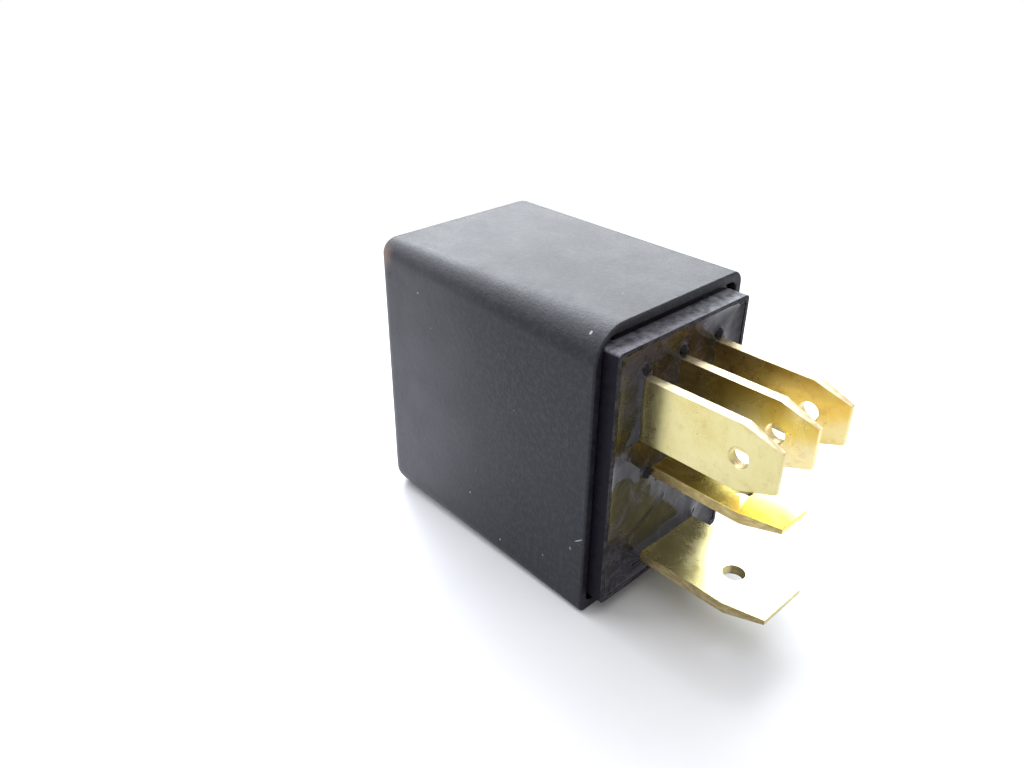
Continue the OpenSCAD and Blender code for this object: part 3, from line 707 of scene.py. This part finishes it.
def make_camera():
    """Camera from its angles, its place and its lens."""
    azimuth, elevation, roll = (math.radians(a) for a in CAMERA_TURN)
    unit = CASE_HEIGHT / CAMERA_CASE
    place_at = Vector(CAMERA_PLACE) * unit + Vector((RIM_X, 0, 0))
    back = Vector((math.sin(azimuth) * math.cos(elevation),
                   -math.cos(azimuth) * math.cos(elevation), math.sin(elevation)))
    side = Vector((0, 0, 1)).cross(back).normalized()
    up = back.cross(side)
    right = side * math.cos(roll) + up * math.sin(roll)
    top = up * math.cos(roll) - side * math.sin(roll)
    data = bpy.data.cameras.new("camera")
    data.sensor_width = 36.0
    data.lens = CAMERA_LENS
    data.clip_start = 0.001
    data.clip_end = 20.0
    cam = bpy.data.objects.new("camera", data)
    cam.matrix_world = Matrix.Translation(place_at) @ Matrix(
        ((right.x, top.x, back.x, 0), (right.y, top.y, back.y, 0),
         (right.z, top.z, back.z, 0), (0, 0, 0, 1)))
    bpy.context.scene.collection.objects.link(cam)
    bpy.context.scene.camera = cam


def seen_ray(t):
    """1 for rays that the camera, a mirror or a glass sends, and 0 for rays that light things."""
    ray = add(t, "ShaderNodeLightPath")
    seen = math_node(t, "MAXIMUM", ray.outputs["Is Camera Ray"], ray.outputs["Is Glossy Ray"])
    return math_node(t, "MAXIMUM", seen, ray.outputs["Is Transmission Ray"])


def make_floor():
    """Pale floor that keeps the relay's shadow and fades to white away from it."""
    mat, t = new_material("floor")
    at = place(t)
    cloud = noise_fac(t, at, 60, 4, 0.6)
    tone = ramp(t, cloud, [(0.3, (0.69, 0.69, 0.715)), (0.7, (0.72, 0.72, 0.745))])
    lit = add(t, "ShaderNodeBsdfPrincipled", {
        "Base Color": tone, "Roughness": 0.42, "Specular IOR Level": 0.35,
    }).outputs[0]
    white = add(t, "ShaderNodeEmission", {"Color": (1, 1, 1, 1), "Strength": 1.0}).outputs[0]
    seen = seen_ray(t)
    far = add(t, "ShaderNodeVectorMath", {0: at}, operation="LENGTH").outputs["Value"]
    fade = math_node(t, "MULTIPLY", remap(t, far, *FLOOR_FADE), seen)
    mix = add(t, "ShaderNodeMixShader", {0: fade, 1: lit, 2: white})
    add(t, "ShaderNodeOutputMaterial", {"Surface": mix.outputs[0]})
    bm = bmesh.new()
    bm.faces.new([bm.verts.new((x * FLOOR_HALF, y * FLOOR_HALF, 0.0))
                  for x, y in ((-1, -1), (1, -1), (1, 1), (-1, 1))])
    mesh = bpy.data.meshes.new("floor")
    bm.to_mesh(mesh)
    bm.free()
    obj = bpy.data.objects.new("floor", mesh)
    mesh.materials.append(mat)
    bpy.context.scene.collection.objects.link(obj)


def make_world():
    """White where it is seen, and a dimmer fill where it lights."""
    world = bpy.data.worlds.new("world")
    bpy.context.scene.world = world
    world.use_nodes = True
    t = world.node_tree
    t.nodes.clear()
    seen = seen_ray(t)
    dim = add(t, "ShaderNodeBackground", {"Color": (0.95, 0.97, 1.0, 1), "Strength": 0.62})
    white = add(t, "ShaderNodeBackground", {"Color": (1, 1, 1, 1), "Strength": 1.0})
    mix = add(t, "ShaderNodeMixShader", {0: seen, 1: dim.outputs[0], 2: white.outputs[0]})
    add(t, "ShaderNodeOutputWorld", {"Surface": mix.outputs[0]})


def add_lamp(name, azimuth, elevation, distance, size, power, colour=(1, 1, 1)):
    """Area lamp on a sphere round the relay, facing it."""
    a, e = math.radians(azimuth), math.radians(elevation)
    toward = Vector((math.sin(a) * math.cos(e), -math.cos(a) * math.cos(e), math.sin(e)))
    data = bpy.data.lights.new(name, "AREA")
    data.shape = "RECTANGLE"
    data.size, data.size_y = size
    data.energy = power
    data.color = colour
    obj = bpy.data.objects.new(name, data)
    obj.location = toward * distance + Vector((0, 0, CASE_HEIGHT / 2))
    obj.rotation_mode = "QUATERNION"
    obj.rotation_quaternion = toward.to_track_quat("Z", "Y")
    bpy.context.scene.collection.objects.link(obj)


def make_light():
    """White surroundings and soft lamps: two from behind, one overhead, a weak one at the left."""
    make_world()
    add_lamp("window", 226, 36, 0.34, (0.34, 0.22), 1.77, (0.93, 0.97, 1.0))
    add_lamp("corner", 266, 51, 0.34, (0.24, 0.2), 1.0, (0.94, 0.97, 1.0))
    add_lamp("overhead", 20, 76, 0.4, (0.34, 0.34), 0.5)
    add_lamp("left", -52, 36, 0.32, (0.14, 0.14), 0.28, (0.95, 0.96, 1.0))
    bpy.context.scene.view_settings.view_transform = "Standard"


# ---- Assembly ----

def paint_nodes():
    """Paints every CAD node, and gives back the materials by node."""
    # One brass in copies toned per blade for the light on it: face tones, pale edge tones as painted
    # highlight, dark edge tones and root darkening as painted shade.
    highlight_edge = ((0.5, 0.41, 0.25), (0.76, 0.68, 0.5))
    shaded_edge = ((0.19, 0.13, 0.06), (0.4, 0.32, 0.17))
    pale = ((0.58, 0.48, 0.19), (0.67, 0.6, 0.29), (0.74, 0.68, 0.37))
    golden = ((0.74, 0.55, 0.2), (0.84, 0.69, 0.32), (0.88, 0.78, 0.46))
    yellow = ((0.8, 0.6, 0.14), (0.88, 0.76, 0.22), (0.93, 0.86, 0.3))
    near = sheet_brass("brass_near", 2, pale, highlight_edge, 1.2, 0.05, 0.25)
    inner = sheet_brass("brass_inner", 2, golden, highlight_edge, 5, 0.4)
    middle = sheet_brass("brass_middle", 1, yellow, ((0.3, 0.2, 0.1), (0.55, 0.45, 0.25)), 6.5, 0.4)
    wide = sheet_brass("brass_wide", 1, pale, shaded_edge, 2, 0.1, 0.22)
    steel = metal("plated_iron", (0.68, 0.69, 0.7), (0.5, 0.51, 0.53), 0.34, 900, (0.15, 1, 1))
    rivet = metal("rivet_steel", (0.55, 0.55, 0.55), (0.36, 0.36, 0.37), 0.38, 1500)
    silver = metal("contact_silver", (0.9, 0.89, 0.86), (0.76, 0.75, 0.71), 0.26, 1300)
    bronze = metal("spring_bronze", (0.83, 0.55, 0.3), (0.68, 0.4, 0.2), 0.26, 1800, (1, 1, 0.12))
    tinned = metal("tinned_wire", (0.8, 0.8, 0.8), (0.62, 0.62, 0.63), 0.3, 2000)
    wire = wound_wire()
    paints = {
        "cover": moulded_case(), "base": moulded_base(), "epoxy_seal": poured_resin(),
        "terminal_30": wide, "terminal_87a": middle,
        "terminal_85": inner, "terminal_86": near, "terminal_87": inner,
        "bobbin": moulding("bobbin_moulding", (0.6, 0.55, 0.42), (0.72, 0.67, 0.54), 0.4),
        "coil_winding": wire, "coil_leads": wire,
        "core": steel, "yoke": steel, "armature": steel,
        "yoke_rivets": rivet, "terminal_rivets": rivet, "armature_rivets": rivet,
        "contact_spring": bronze, "moving_contact": silver,
        "normally_open_contact": silver, "normally_closed_contact": silver,
        "suppression_resistor": lacquered_resistor(), "resistor_leads": tinned,
    }
    for name, mat in paints.items():
        paint(name, mat)
    return paints


def build():
    """Paints, replaces and softens the pieces, then sets the stage."""
    paints = paint_nodes()
    build_cover(paints["cover"])
    build_resin(paints["epoxy_seal"], resin_bead())
    build_spring(paints["contact_spring"])
    soften("base", MOULDED_R)
    for name in BLADES:
        soften(name, MOULDED_R, 3)
    for name in ("yoke", "armature", "core", "bobbin"):
        soften(name, STAMPED_R)
    make_floor()
    make_light()
    make_camera()


build()
bpy.context.view_layer.update()
